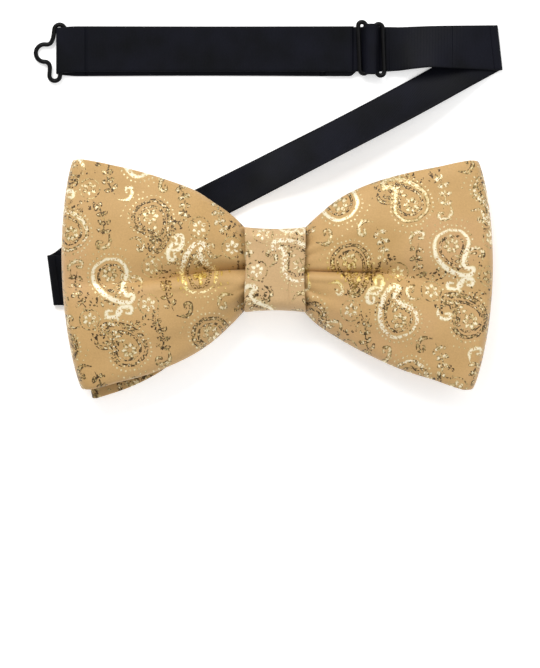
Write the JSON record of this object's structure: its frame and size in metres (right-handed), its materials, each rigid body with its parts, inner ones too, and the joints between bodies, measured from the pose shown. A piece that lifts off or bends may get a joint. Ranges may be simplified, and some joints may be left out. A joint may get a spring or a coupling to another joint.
{
  "type": "bow tie",
  "caption": "Pre-tied bow tie of two gathered cloth bows under a wound knot, on a folded adjustable ribbon neck strap with a wire slider, hook and eye.",
  "frame": {"origin": "centre of the flat back of the knot, on the surface the bow tie lies on", "axes": "+X along the bow towards the eye's end of the strap, +Y across the bow towards the folded strap, +Z out of the front of the bow"},
  "size_m": [0.1309, 0.1057, 0.0176],
  "materials": {
    "bow_cloth": "champagne satin with a printed metallic foil paisley",
    "knot_cloth": "champagne satin with a printed metallic foil paisley",
    "interlining": "undyed woven stiffener",
    "strap_ribbon": "fine ribbed black satin ribbon",
    "gold_thread": "matt sewing thread",
    "black_thread": "matt sewing thread",
    "black_wire": "black lacquered steel wire"
  },
  "bodies": {
    "bow": {"front_bow_cover": "bow_cloth", "front_bow_interlining": "interlining", "back_bow_cover": "bow_cloth", "back_bow_interlining": "interlining", "gather_thread": "gold_thread", "knot_wrap": "knot_cloth", "knot_interlining": "interlining", "knot_seam_thread": "gold_thread"},
    "inner_strap": {"neck_strap_inner": "strap_ribbon", "eye_bar_tack": "black_thread"},
    "eye": {"eye": "black_wire"},
    "diagonal_strap": {"neck_strap_diagonal": "strap_ribbon"},
    "upper_strap": {"neck_strap_upper": "strap_ribbon", "neck_strap_running": "strap_ribbon"},
    "slider": {"slider": "black_wire", "neck_strap_at_slider": "strap_ribbon", "neck_strap_end_loop": "strap_ribbon", "slider_bar_tack": "black_thread", "neck_strap_front_run": "strap_ribbon", "neck_strap_back_run": "strap_ribbon"},
    "hook_end": {"neck_strap_hook_loop": "strap_ribbon"},
    "hook": {"hook": "black_wire"}
  },
  "joints": [
    {"name": "bow_on_strap_slide", "type": "slide", "parent": "bow", "child": "inner_strap", "axis": [1, 0, 0], "range_m": [-0.02, 0.006]},
    {"name": "left_fold", "type": "hinge", "parent": "inner_strap", "child": "diagonal_strap", "pos_m": [-0.062, -0.0042, 0.0008], "axis": [-0.2395, 0.9709, 0], "range_deg": [0, 180]},
    {"name": "right_fold", "type": "hinge", "parent": "diagonal_strap", "child": "upper_strap", "pos_m": [0.0627, 0.0613, 0.0008], "axis": [-0.2395, 0.9709, 0], "range_deg": [0, 180]},
    {"name": "slider_slide", "type": "slide", "parent": "upper_strap", "child": "slider", "axis": [-1, 0, 0], "range_m": [-0.012, 0.13], "deforming": ["neck_strap_running"]},
    {"name": "hook_travel", "type": "slide", "parent": "slider", "child": "hook_end", "axis": [-1, 0, 0], "range_m": [-0.065, 0.006], "deforming": ["neck_strap_front_run", "neck_strap_back_run"]},
    {"name": "hook_pivot", "type": "hinge", "parent": "hook_end", "child": "hook", "pos_m": [-0.0596, 0.0609, 0.0012], "axis": [0.0785, 0.9969, 0], "range_deg": [-130, 130]},
    {"name": "eye_pivot", "type": "hinge", "parent": "inner_strap", "child": "eye", "pos_m": [0.044, -0.0042, 0.0012], "axis": [0, 1, 0], "range_deg": [0, 150]}
  ],
  "couplings": [
    {"joint": "hook_travel", "follows": "slider_slide", "ratio": -0.5}
  ]
}
